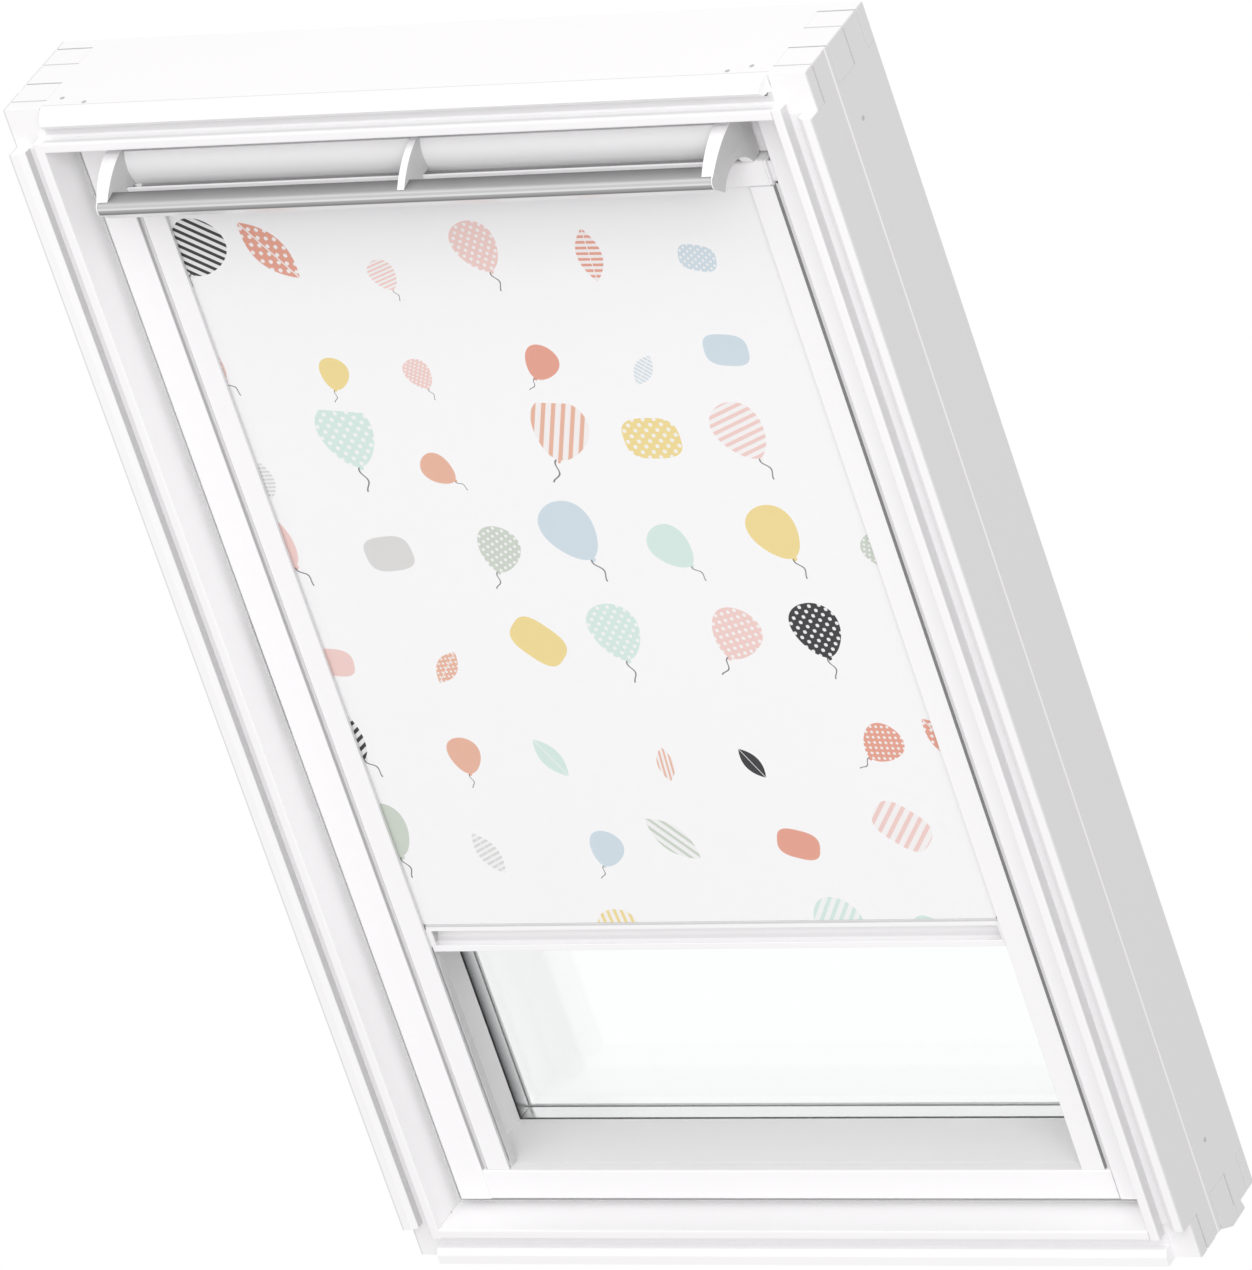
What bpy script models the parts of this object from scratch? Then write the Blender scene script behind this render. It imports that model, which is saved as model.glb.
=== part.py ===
"""Centre-pivot roof window with a ventilation flap, a control bar and a roller blind.

Metres, +Z runs up the slope, +X to the right, and the room is on the -Y side.
Depths are counted from the front plane of the frame, away from the room.
"""
import math

import bpy
import bmesh
from mathutils import Matrix, Vector

# Clearance between pieces that are fitted together, and between running pieces.
FIT = 0.0003
RUN = 0.0004
# How far a cutting shape reaches past the piece that it cuts.
OVERSHOOT = 0.010

# Frame.
FRAME_W = 0.780
FRAME_H = 1.178
FRAME_DEPTH = 0.1265
MEMBER_W = 0.036
RAIL_FLAT = 0.009
RAIL_CHAMFER = 0.004
GROOVE_START = 0.0145
GROOVE_W = 0.0123
GROOVE_DEPTH = 0.0115
EDGE_ROUND = 0.0015
HEAD_ROUND_H = 0.010
HEAD_ROUND_D = 0.017
SIDE_FLUTE_AT = 0.043
SIDE_FLUTE_W = 0.0085
SIDE_FLUTE_DEPTH = 0.0008
HEAD_RAIL_SETBACK = 0.005
SILL_RAIL_REACH = 0.0105

# Comb joint of the frame corners: thickness of each layer, from the front.
CORNER_STEP = 0.014
COMB_1 = 0.0125
COMB_2 = 0.030
COMB_3 = 0.0305
COMB_4 = 0.027
COMB_CHAMFER = 0.0010

# Seal round the frame opening.
SEAL_AT = 0.044
SEAL_W = 0.005
SEAL_SEAT = 0.004
SEAL_LIP = 0.0015

# Sash.
SASH_GAP = 0.008
SASH_FRONT = 0.037
SASH_FACE_W = 0.032
BOTTOM_RAIL_H = 0.030
TOP_RAIL_H = 0.0495
TOP_RAIL_SETBACK = 0.015
SASH_WALL_D = 0.079
REBATE_W = 0.012
REBATE_D = 0.016
BEAD_AT = 0.012
BEAD_W = 0.0012
BEAD_DEPTH = 0.001
PANE_T = 0.004
CAVITY_T = 0.016
GLASS_OVERLAP = 0.010
SPACER_INSET = 0.001
COVER_D = 0.014
COVER_CHAMFER = 0.002

# Centre pivot of the sash.
PIVOT_UP = 0.589
PIVOT_BACK = 0.082
PIVOT_PLATE_T = 0.0025
PIVOT_PLATE_H = 0.070
PIVOT_PLATE_W = 0.024
PIVOT_PLATE_ROUND = 0.008
PIVOT_PIN_R = 0.005

# Ventilation flap.
FLAP_AXIS_RISE = 0.0113
FLAP_AXIS_BACK = 0.004
HEEL_OUT = 0.0056
HEEL_DOWN = 0.0094
HEEL_BACK = 0.0055
SPINE_BACK = 0.008
EYE_PIN_R = 0.003
EYE_SKIN = 0.0025
BRACKET_INSET = 0.0148
BRACKET_T = 0.0106
BRACKET_FLARE = 0.0040
FLARE_UP = 0.013
BRACKET_END_SKIN = 0.0012
MIDDLE_T = 0.0068
BRACKET_TOP = 0.039
BRACKET_TOP_OUT = 0.030
BROW_UP = 0.0150
BROW_OUT = 0.0690
BROW_SAG = 0.0030
ARCH_RISE = 0.0140
BAR_WALL = 0.002
BAR_BACK_UP = 0.017
BAR_BACK_OUT = 0.057
BAR_EDGE_UP = 0.0135
BAR_EDGE_OUT = 0.0735
BAR_CHIN_UP = 0.0050
BAR_CHIN_OUT = 0.0735
BAR_FOOT_DOWN = 0.0068
BAR_FOOT_OUT = 0.0590
BAR_ROUND = 0.0045
COVER_WALL = 0.0025
COVER_TOP_UP = 0.037
COVER_TOP_OUT = 0.0238
COVER_LOW_UP = 0.0044
COVER_LOW_OUT = 0.0222
COVER_SAG = 0.004
GUTTER_BACK_OUT = 0.013
GUTTER_DOWN = 0.003
GUTTER_T = 0.002
LIP_OUT = 0.0364
LIP_T = 0.0012
LIP_UP = 0.0088
TIP_OUT = 0.0010
TIP_H = 0.0025
LUG_T = 0.005
LUG_R = 0.0065
LUG_FOOT_H = 0.011

# Lock of the sash.
LOCK_W = 0.044
LOCK_H = 0.024
LOCK_D = 0.0187
LOCK_UP = 0.0220
LOCK_ROUND = 0.003
LATCH_W = 0.012
LATCH_D = 0.005
LATCH_STICK_OUT = 0.0040
LATCH_ENGAGE = 0.016
LATCH_TRAVEL = 0.004
LATCH_BACK = 0.006
STRIKER_W = 0.040
STRIKER_D = 0.012
STRIKER_T = 0.0014
STRIKER_AT = 0.028

# Roller blind.
BLIND_SETBACK = 0.001
BLIND_SIDE_GAP = 0.0056
CHANNEL_W = 0.0226
CHANNEL_D = 0.014
CHANNEL_WALL = 0.0015
CHANNEL_SLOT_AT = 0.003
CHANNEL_SLOT_W = 0.003
FLANGE_AT = 0.0041
FLANGE_T = 0.0015
PLUG_H = 0.005
CASING_H = 0.024
CASING_D = 0.027
CASING_WALL = 0.0015
CASING_LIP = 0.003
CASING_SLOT = 0.009
CASING_ROUND = 0.0025
CASING_BELOW_RAIL = 0.0018
CASING_END_T = 0.0022
CASING_SEAT_H = 0.014
CASING_SEAT_D = 0.010
ROLLER_R = 0.0093
SPINDLE_R = 0.003
SPINDLE_L = 0.008
FABRIC_T = 0.0006
FABRIC_DEPTH = 0.0042
FABRIC_IN_SLOT = 0.0035
BAR_BOTTOM_UP = 0.3025
BAR_H = 0.028
BAR_D = 0.014
BAR_SETBACK = 0.0035
BAR_END_GAP = 0.0046
BAR_LIP_H = 0.0048
BAR_UNDERCUT = 0.0023
GRIP_H = 0.0157
GRIP_D = 0.012
GRIP_BACK_H = 0.0085
GRIP_SAG = 0.003
GRIP_END = 0.0012
BAR_CORNER = 0.0006
GLIDE_T = 0.0022
GLIDE_H = 0.018
GLIDE_INTO_SLOT = 0.004

for old in list(bpy.data.objects):
    bpy.data.objects.remove(old, do_unlink=True)

window = bpy.data.collections.new("roof_window")
cutters = bpy.data.collections.new("cutters")
bpy.context.scene.collection.children.link(window)
bpy.context.scene.collection.children.link(cutters)


def material(name, colour, metallic, roughness, transmission=0.0):
    """A plain Principled material."""
    mat = bpy.data.materials.new(name)
    mat.use_nodes = True
    shader = mat.node_tree.nodes["Principled BSDF"]
    shader.inputs["Base Color"].default_value = (*colour, 1.0)
    shader.inputs["Metallic"].default_value = metallic
    shader.inputs["Roughness"].default_value = roughness
    shader.inputs["Transmission Weight"].default_value = transmission
    mat.diffuse_color = (*colour, 1.0)
    return mat


FRAME_WHITE = material("frame_white", (0.86, 0.86, 0.86), 0.0, 0.35)
SASH_WHITE = material("sash_white", (0.85, 0.85, 0.85), 0.0, 0.35)
PLASTIC_WHITE = material("plastic_white", (0.83, 0.83, 0.84), 0.0, 0.4)
BLIND_WHITE = material("blind_white", (0.88, 0.88, 0.88), 0.0, 0.4)
ALUMINIUM = material("bar_aluminium", (0.66, 0.67, 0.68), 1.0, 0.3)
COVER_GREY = material("cover_grey", (0.20, 0.21, 0.22), 0.0, 0.45)
STEEL = material("hinge_steel", (0.60, 0.60, 0.61), 1.0, 0.35)
RUBBER = material("seal_rubber", (0.10, 0.10, 0.10), 0.0, 0.8)
PALE_RUBBER = material("seal_white", (0.72, 0.72, 0.71), 0.0, 0.7)
SPACER_GREY = material("spacer_grey", (0.50, 0.50, 0.51), 0.0, 0.5)
GLASS = material("clear_glass", (0.93, 0.96, 0.96), 0.0, 0.02, 1.0)
FABRIC = material("blind_fabric", (0.90, 0.89, 0.87), 0.0, 0.9)


def back(depth):
    """World Y of a depth behind the front plane of the frame."""
    return depth - FRAME_DEPTH / 2


def arc(start, end, sag, steps):
    """Points of a circular arc between two points; a positive sag bulges to the left of the way."""
    start, end = Vector(start), Vector(end)
    middle = (start + end) / 2
    way = (end - start).normalized()
    left = Vector((-way.y, way.x))
    half = (end - start).length / 2
    turn = 2 * math.atan2(sag, half)
    radius = half / math.sin(turn)
    angles = [turn * (2 * i / steps - 1) for i in range(steps + 1)]
    return [tuple(middle + way * radius * math.sin(t) + left * radius * (math.cos(t) - math.cos(turn)))
            for t in angles]


def fillet(points, radii, steps=4):
    """A closed outline with some corners rounded; radii gives one radius for each corner."""
    outline = []
    count = len(points)
    for i, (point, radius) in enumerate(zip(points, radii)):
        corner = Vector(point)
        if radius <= 0:
            outline.append(tuple(corner))
            continue
        before = Vector(points[i - 1]) - corner
        after = Vector(points[(i + 1) % count]) - corner
        half = before.angle(after) / 2
        reach = min(radius / math.tan(half), 0.49 * before.length, 0.49 * after.length)
        real = reach * math.tan(half)
        p, q = corner + before.normalized() * reach, corner + after.normalized() * reach
        middle = corner + (before.normalized() + after.normalized()).normalized() * real / math.sin(half)
        a0, turn = p - middle, (p - middle).angle_signed(q - middle)
        for k in range(steps + 1):
            t = -turn * k / steps
            outline.append((middle.x + a0.x * math.cos(t) - a0.y * math.sin(t),
                            middle.y + a0.x * math.sin(t) + a0.y * math.cos(t)))
    return outline


def rounded_box(u0, u1, v0, v1, radius, steps=4):
    """Outline of a rectangle with rounded corners."""
    return fillet([(u0, v0), (u1, v0), (u1, v1), (u0, v1)], [radius] * 4, steps)


def circle(u, v, radius, steps=28):
    """Outline of a circle."""
    return [(u + radius * math.cos(2 * math.pi * i / steps), v + radius * math.sin(2 * math.pi * i / steps))
            for i in range(steps)]


def ring(u0, u1, v0, v1, width):
    """Two outlines: a rectangle and the hole left by a border of one width."""
    return [[(u0, v0), (u1, v0), (u1, v1), (u0, v1)],
            [(u0 + width, v0 + width), (u1 - width, v0 + width), (u1 - width, v1 - width), (u0 + width, v1 - width)]]


def offset_path(path, distance):
    """An open path moved sideways, to its right where the distance is positive."""
    moved = []
    for i, point in enumerate(path):
        here = Vector(point)
        normals = []
        if i > 0:
            way = (here - Vector(path[i - 1])).normalized()
            normals.append(Vector((way.y, -way.x)))
        if i < len(path) - 1:
            way = (Vector(path[i + 1]) - here).normalized()
            normals.append(Vector((way.y, -way.x)))
        if len(normals) == 1:
            moved.append(tuple(here + normals[0] * distance))
        else:
            middle = (normals[0] + normals[1]).normalized()
            moved.append(tuple(here + middle * distance / middle.dot(normals[0])))
    return moved


def finish(obj, slot, origin):
    """Welds the mesh, turns its faces out, sets the material, the shading and the origin."""
    mesh = obj.data
    bm = bmesh.new()
    bm.from_mesh(mesh)
    bmesh.ops.remove_doubles(bm, verts=bm.verts, dist=1e-6)
    bmesh.ops.recalc_face_normals(bm, faces=bm.faces)
    bm.to_mesh(mesh)
    bm.free()
    mesh.transform(Matrix.Translation(-Vector(origin)))
    obj.location = origin
    mesh.shade_smooth()
    mesh.set_sharp_from_angle(angle=math.radians(30))
    if slot is None:
        cutters.objects.link(obj)
        obj.hide_render = True
        obj.display_type = 'WIRE'
    else:
        window.objects.link(obj)
        mesh.materials.clear()
        mesh.materials.append(slot)
    return obj


def extruded(name, loops, u_way, v_way, along, lo, hi, slot, origin):
    """A filled flat outline with its holes, thickened from lo to hi along one axis."""
    curve = bpy.data.curves.new(name, 'CURVE')
    curve.dimensions = '2D'
    curve.fill_mode = 'BOTH'
    curve.extrude = (hi - lo) / 2
    curve.render_resolution_u = 0
    for loop in loops:
        spline = curve.splines.new('POLY')
        spline.points.add(len(loop) - 1)
        for point, (u, v) in zip(spline.points, loop):
            point.co = (u, v, 0.0, 1.0)
        spline.use_cyclic_u = True
    guide = bpy.data.objects.new(name + "_outline", curve)
    bpy.context.scene.collection.objects.link(guide)
    normal = Vector(u_way).cross(Vector(v_way))
    place = Matrix((u_way, v_way, normal)).transposed().to_4x4()
    place.translation = Vector(along) * (lo + hi) / 2
    guide.matrix_world = place
    bpy.context.view_layer.update()
    depsgraph = bpy.context.evaluated_depsgraph_get()
    mesh = bpy.data.meshes.new_from_object(guide.evaluated_get(depsgraph))
    mesh.transform(place)
    mesh.name = name
    bpy.data.objects.remove(guide, do_unlink=True)
    bpy.data.curves.remove(curve)
    return finish(bpy.data.objects.new(name, mesh), slot, origin)


def along_x(name, outline, x0, x1, slot=None, origin=(0, 0, 0), holes=()):
    """A profile of (depth, height) points that runs across the window."""
    loops = [[(back(d), z) for d, z in loop] for loop in (outline, *holes)]
    return extruded(name, loops, (0, 1, 0), (0, 0, 1), (1, 0, 0), min(x0, x1), max(x0, x1), slot, origin)


def along_z(name, outline, z0, z1, slot=None, origin=(0, 0, 0)):
    """A profile of (across, depth) points that runs up the slope."""
    loops = [[(x, back(d)) for x, d in outline]]
    return extruded(name, loops, (1, 0, 0), (0, 1, 0), (0, 0, 1), z0, z1, slot, origin)


def along_y(name, loops, d0, d1, slot=None, origin=(0, 0, 0)):
    """A flat piece of (across, height) outlines, thick from one depth to another."""
    return extruded(name, loops, (1, 0, 0), (0, 0, 1), (0, 1, 0), back(d0), back(d1), slot, origin)


def box(name, x0, x1, d0, d1, z0, z1, slot=None, origin=(0, 0, 0)):
    """A plain block."""
    mesh = bpy.data.meshes.new(name)
    bm = bmesh.new()
    bmesh.ops.create_cube(bm, size=1.0)
    bm.to_mesh(mesh)
    bm.free()
    size = Matrix.Diagonal((abs(x1 - x0), d1 - d0, z1 - z0, 1.0))
    mesh.transform(Matrix.Translation(((x0 + x1) / 2, back((d0 + d1) / 2), (z0 + z1) / 2)) @ size)
    return finish(bpy.data.objects.new(name, mesh), slot, origin)


def cut(piece, *tools):
    """Takes each cutting shape out of a piece."""
    for tool in tools:
        modifier = piece.modifiers.new(tool.name, 'BOOLEAN')
        modifier.operation = 'DIFFERENCE'
        modifier.solver = 'EXACT'
        modifier.object = tool


def join(piece, *others):
    """Adds each other shape to a piece."""
    for other in others:
        modifier = piece.modifiers.new(other.name, 'BOOLEAN')
        modifier.operation = 'UNION'
        modifier.solver = 'EXACT'
        modifier.object = other


# Frame members. The section is counted inwards from the outer face.
half_w = FRAME_W / 2
groove_end = GROOVE_START + GROOVE_W
comb_a = CORNER_STEP + COMB_1
comb_b = comb_a + COMB_2
comb_c = comb_b + COMB_3
comb_d = comb_c + COMB_4
flute_middle = SIDE_FLUTE_AT + SIDE_FLUTE_W / 2


def member_section(edge, flute):
    """Section of a frame member as (inwards, depth) points."""
    lining_groove = [(GROOVE_START, RAIL_CHAMFER), (GROOVE_START, GROOVE_DEPTH), (groove_end, GROOVE_DEPTH)]
    lip = fillet([(groove_end, GROOVE_DEPTH), (groove_end, 0.0), (MEMBER_W, 0.0), (MEMBER_W, FRAME_DEPTH)],
                 [0, EDGE_ROUND, EDGE_ROUND, 0], 3)[1:]
    return edge + lining_groove + lip + [(0.0, FRAME_DEPTH)] + flute


side_flute = [(0.0, SIDE_FLUTE_AT + SIDE_FLUTE_W), (SIDE_FLUTE_DEPTH, SIDE_FLUTE_AT + SIDE_FLUTE_W - EDGE_ROUND),
              (SIDE_FLUTE_DEPTH, SIDE_FLUTE_AT + EDGE_ROUND), (0.0, SIDE_FLUTE_AT)]
sharp_edge = [(0.0, 0.0), (RAIL_FLAT, 0.0)]
round_edge = [(HEAD_ROUND_H * (1 - math.cos(t)), HEAD_ROUND_D * (1 - math.sin(t)))
              for t in [math.pi / 2 * i / 6 for i in range(7)]]

frame_side_left = along_z("frame_side_left", [(s - half_w, d) for s, d in member_section(sharp_edge, side_flute)],
                          0.0, FRAME_H, FRAME_WHITE)
frame_side_right = along_z("frame_side_right", [(half_w - s, d) for s, d in member_section(sharp_edge, side_flute)],
                           0.0, FRAME_H, FRAME_WHITE)
frame_sill = along_x("frame_sill", [(d, s) for s, d in member_section(sharp_edge, [])],
                     -half_w, half_w, FRAME_WHITE)
frame_head = along_x("frame_head", [(d, FRAME_H - s) for s, d in member_section(round_edge, [])],
                     -half_w, half_w, FRAME_WHITE)


def comb(slots, root, tip, way):
    """Outline of a comb that clears the slots of a finger joint, in (depth, along) points."""
    rim = tip + way * OVERSHOOT
    skin = tip + way * COMB_CHAMFER
    points = [(-OVERSHOOT, rim), (-OVERSHOOT, skin)]
    for lo, hi in slots:
        points += [(lo - 2 * COMB_CHAMFER, skin), (lo, tip - way * COMB_CHAMFER), (lo, root),
                   (hi, root), (hi, tip - way * COMB_CHAMFER), (hi + 2 * COMB_CHAMFER, skin)]
    points += [(FRAME_DEPTH + OVERSHOOT * 2, skin), (FRAME_DEPTH + OVERSHOOT * 2, rim)]
    return points


gap = FIT / 2
side_slots = [(CORNER_STEP - gap, comb_a + gap), (comb_b - gap, comb_c + gap), (comb_d - gap, FRAME_DEPTH + OVERSHOOT)]
end_slots = [(comb_a - gap, comb_b + gap), (comb_c - gap, comb_d + gap)]

for side, piece in ((-1, frame_side_left), (1, frame_side_right)):
    outside, inside = side * (half_w + OVERSHOOT), side * (half_w - MEMBER_W - OVERSHOOT)
    nub = side * (half_w - groove_end)
    for name, root, tip, way in (("low", MEMBER_W + gap, 0.0, -1), ("top", FRAME_H - MEMBER_W - gap, FRAME_H, 1)):
        cut(piece, along_x(piece.name + "_comb_" + name, comb(side_slots, root, tip, way), inside, outside))
        nub_end = tip - way * groove_end
        beyond = tip + way * OVERSHOOT
        step = [(outside, root), (nub, root), (nub, nub_end), (inside, nub_end), (inside, beyond), (outside, beyond)]
        cut(piece, along_y(piece.name + "_step_" + name, [step], -OVERSHOOT, comb_a))

for base, way, piece in ((0.0, 1, frame_sill), (FRAME_H, -1, frame_head)):
    near, far = base - way * OVERSHOOT, base + way * (MEMBER_W + OVERSHOOT)
    for side, name in ((-1, "left"), (1, "right")):
        root, tip = side * (half_w - MEMBER_W - gap), side * half_w
        outline = [(x, d) for d, x in comb(end_slots, root, tip, side)]
        cut(piece, along_z(piece.name + "_comb_" + name, outline, min(near, far), max(near, far)))
        beyond = tip + side * OVERSHOOT
        step = [(root, near), (root, far), (beyond, far), (beyond, near)]
        if piece is frame_sill:
            rail_end, rail_up = root + side * SILL_RAIL_REACH, groove_end - FIT
            step = [(rail_end, near), (rail_end, rail_up), (root, rail_up)] + step[1:]
        cut(piece, along_y(piece.name + "_step_" + name, [step], -OVERSHOOT, CORNER_STEP))
        if piece is frame_head:
            rail_end = root - side * HEAD_RAIL_SETBACK
            slope = [(root, -OVERSHOOT), (rail_end, -OVERSHOOT), (rail_end, 0.0),
                     (root - side * HEAD_RAIL_SETBACK / 2, HEAD_ROUND_D * 0.6), (root, HEAD_ROUND_D)]
            cut(piece, along_z("frame_head_rail_end_" + name, slope, FRAME_H - GROOVE_START, near))

seal_seat = MEMBER_W - SEAL_SEAT
seal_cut = along_y("reveal_seal_seat",
                   ring(seal_seat - half_w, half_w - seal_seat, seal_seat, FRAME_H - seal_seat, SEAL_SEAT + OVERSHOOT),
                   SEAL_AT, SEAL_AT + SEAL_W)
for piece in (frame_side_left, frame_side_right, frame_sill, frame_head):
    cut(piece, seal_cut)
seal_out = seal_seat + FIT
along_y("reveal_seal",
        ring(seal_out - half_w, half_w - seal_out, seal_out, FRAME_H - seal_out, SEAL_SEAT - FIT + SEAL_LIP),
        SEAL_AT + FIT, SEAL_AT + SEAL_W - FIT, PALE_RUBBER)

# Sash. Widths are counted from the middle, heights from the sill.
pivot = (0.0, back(PIVOT_BACK), PIVOT_UP)
sash_out = half_w - MEMBER_W - SASH_GAP
sash_low, sash_top = MEMBER_W + SASH_GAP, FRAME_H - MEMBER_W - SASH_GAP
daylight_x = sash_out - SASH_FACE_W
daylight_low, daylight_top = sash_low + BOTTOM_RAIL_H, sash_top - TOP_RAIL_H
glass_face = SASH_FRONT + SASH_WALL_D
wood_back = glass_face + REBATE_D
rebate_x = daylight_x + REBATE_W
rebate_low, rebate_top = daylight_low - REBATE_W, daylight_top + REBATE_W

for side, name in ((-1, "left"), (1, "right")):
    section = fillet([(side * sash_out, SASH_FRONT), (side * daylight_x, SASH_FRONT), (side * daylight_x, glass_face),
                      (side * rebate_x, glass_face), (side * rebate_x, wood_back), (side * sash_out, wood_back)],
                     [EDGE_ROUND, EDGE_ROUND, 0, 0, 0, 0], 3)
    along_z("sash_stile_" + name, section, sash_low, sash_top, SASH_WHITE, pivot)

rail_x = daylight_x - FIT
bead = SASH_FRONT + BEAD_AT
rail = fillet([(SASH_FRONT, sash_low), (SASH_FRONT, daylight_low), (bead, daylight_low),
               (bead, daylight_low - BEAD_DEPTH), (bead + BEAD_W, daylight_low - BEAD_DEPTH),
               (bead + BEAD_W, daylight_low), (glass_face, daylight_low), (glass_face, rebate_low),
               (wood_back, rebate_low), (wood_back, sash_low)],
              [EDGE_ROUND, EDGE_ROUND, 0, 0, 0, 0, 0, 0, 0, 0], 3)
along_x("sash_bottom_rail", rail, -rail_x, rail_x, SASH_WHITE, pivot)
top_front = SASH_FRONT + TOP_RAIL_SETBACK
rail = [(top_front, sash_top), (top_front, daylight_top), (glass_face, daylight_top), (glass_face, rebate_top),
        (wood_back, rebate_top), (wood_back, sash_top)]
along_x("sash_top_rail", rail, -rail_x, rail_x, SASH_WHITE, pivot)

# Double glazing: two panes, the spacer between them and a gasket round their edges.
glass_x = daylight_x + GLASS_OVERLAP
glass_low, glass_top = daylight_low - GLASS_OVERLAP, daylight_top + GLASS_OVERLAP
pane_1 = glass_face + FIT
cavity = pane_1 + PANE_T + FIT
pane_2 = cavity + CAVITY_T + FIT
unit_back = pane_2 + PANE_T
pane = [[(-glass_x, glass_low), (glass_x, glass_low), (glass_x, glass_top), (-glass_x, glass_top)]]
along_y("glass_inner", pane, pane_1, pane_1 + PANE_T, GLASS, pivot)
along_y("glass_outer", pane, pane_2, unit_back, GLASS, pivot)
along_y("glass_spacer", ring(SPACER_INSET - glass_x, glass_x - SPACER_INSET, glass_low + SPACER_INSET,
                             glass_top - SPACER_INSET, GLASS_OVERLAP - SPACER_INSET),
        cavity, cavity + CAVITY_T, SPACER_GREY, pivot)
gasket_x, gasket_low, gasket_top = rebate_x - FIT, rebate_low + FIT, rebate_top - FIT
along_y("glazing_gasket", ring(-gasket_x, gasket_x, gasket_low, gasket_top, REBATE_W - GLASS_OVERLAP - 2 * FIT),
        pane_1, unit_back, RUBBER, pivot)

# Weather covers outside: they hold the glazing unit into its rebate.
cover_face = unit_back + FIT
cover_front = wood_back + FIT
cover_back = wood_back + COVER_D
for side, name in ((-1, "left"), (1, "right")):
    section = [(side * sash_out, cover_front), (side * rebate_x, cover_front), (side * rebate_x, cover_face),
               (side * daylight_x, cover_face), (side * daylight_x, cover_back - COVER_CHAMFER),
               (side * (daylight_x + COVER_CHAMFER), cover_back), (side * (sash_out - COVER_CHAMFER), cover_back),
               (side * sash_out, cover_back - COVER_CHAMFER)]
    along_z("cover_" + name, section, sash_low, sash_top, COVER_GREY, pivot)
for name, edge, lap, day in (("bottom", sash_low, rebate_low, daylight_low), ("top", sash_top, rebate_top, daylight_top)):
    way = 1 if edge < day else -1
    section = [(cover_front, edge), (cover_front, lap), (cover_face, lap), (cover_face, day),
               (cover_back - COVER_CHAMFER, day), (cover_back, day - way * COVER_CHAMFER),
               (cover_back, edge + way * COVER_CHAMFER), (cover_back - COVER_CHAMFER, edge)]
    along_x("cover_" + name, section, -rail_x, rail_x, COVER_GREY, pivot)

# Centre pivot: a plate with its pin on the frame, and a plate round the pin on the sash.
opening_x = half_w - MEMBER_W
for side, name in ((-1, "left"), (1, "right")):
    plate_outline = rounded_box(PIVOT_BACK - PIVOT_PLATE_W / 2, PIVOT_BACK + PIVOT_PLATE_W / 2,
                                PIVOT_UP - PIVOT_PLATE_H / 2, PIVOT_UP + PIVOT_PLATE_H / 2, PIVOT_PLATE_ROUND)
    face = side * (opening_x - FIT)
    inner = side * (opening_x - FIT - PIVOT_PLATE_T)
    frame_plate = along_x("frame_hinge_" + name, plate_outline, face, inner, STEEL)
    pin_end = side * (sash_out + 2 * FIT)
    join(frame_plate, along_x("pivot_pin_" + name, circle(PIVOT_BACK, PIVOT_UP, PIVOT_PIN_R),
                              side * (opening_x - FIT - PIVOT_PLATE_T / 2), pin_end))
    along_x("sash_hinge_" + name, plate_outline, side * (sash_out + FIT), side * (sash_out + FIT + PIVOT_PLATE_T),
            STEEL, pivot, [circle(PIVOT_BACK, PIVOT_UP, PIVOT_PIN_R + FIT)])

# Ventilation flap. Its points are counted from the hinge axis: up, and out towards the room.
casing_top = daylight_top - CASING_BELOW_RAIL
axis_z = casing_top + FLAP_AXIS_RISE
axis_d = SASH_FRONT + FLAP_AXIS_BACK
flap_axis = (0.0, back(axis_d), axis_z)


def flap(out, up):
    """A flap point as (depth, height)."""
    return (axis_d - out, axis_z + up)


bar_path = [flap(BAR_BACK_OUT, BAR_BACK_UP), flap(BAR_EDGE_OUT, BAR_EDGE_UP),
            flap(BAR_CHIN_OUT, BAR_CHIN_UP), flap(BAR_FOOT_OUT, -BAR_FOOT_DOWN)]


def bar_section(outer, inner, ends):
    """The bent wall of the control bar, with its faces moved and its two ends made longer."""
    first = Vector(bar_path[0]) + (Vector(bar_path[0]) - Vector(bar_path[1])).normalized() * ends
    last = Vector(bar_path[3]) + (Vector(bar_path[3]) - Vector(bar_path[2])).normalized() * ends
    path = [tuple(first), bar_path[1], bar_path[2], tuple(last)]
    outside, inside = offset_path(path, -outer), offset_path(path, inner)
    round_out, round_in = BAR_ROUND + outer, max(BAR_ROUND - inner, FIT)
    return fillet(outside + inside[::-1], [0, round_out, round_out, 0, 0, round_in, round_in, 0], 4)


bar_inside = BAR_WALL if offset_path(bar_path, BAR_WALL)[1][0] > bar_path[1][0] else -BAR_WALL
bar_sign = 1 if bar_inside > 0 else -1

top_edge = flap(BRACKET_TOP_OUT, BRACKET_TOP)
brow = arc(top_edge, flap(BROW_OUT, BROW_UP), -BROW_SAG, 8)
arch = arc(bar_path[3], flap(HEEL_OUT, -HEEL_DOWN), ARCH_RISE, 12)
chin = fillet(bar_path, [0, BAR_ROUND, BAR_ROUND, 0], 4)[1:-1]
heel = [flap(-HEEL_BACK, -HEEL_DOWN), flap(-SPINE_BACK, SPINE_BACK - HEEL_BACK - HEEL_DOWN)]
bracket_outline = brow + chin + arch + heel + [flap(-SPINE_BACK, BRACKET_TOP)]

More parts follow.
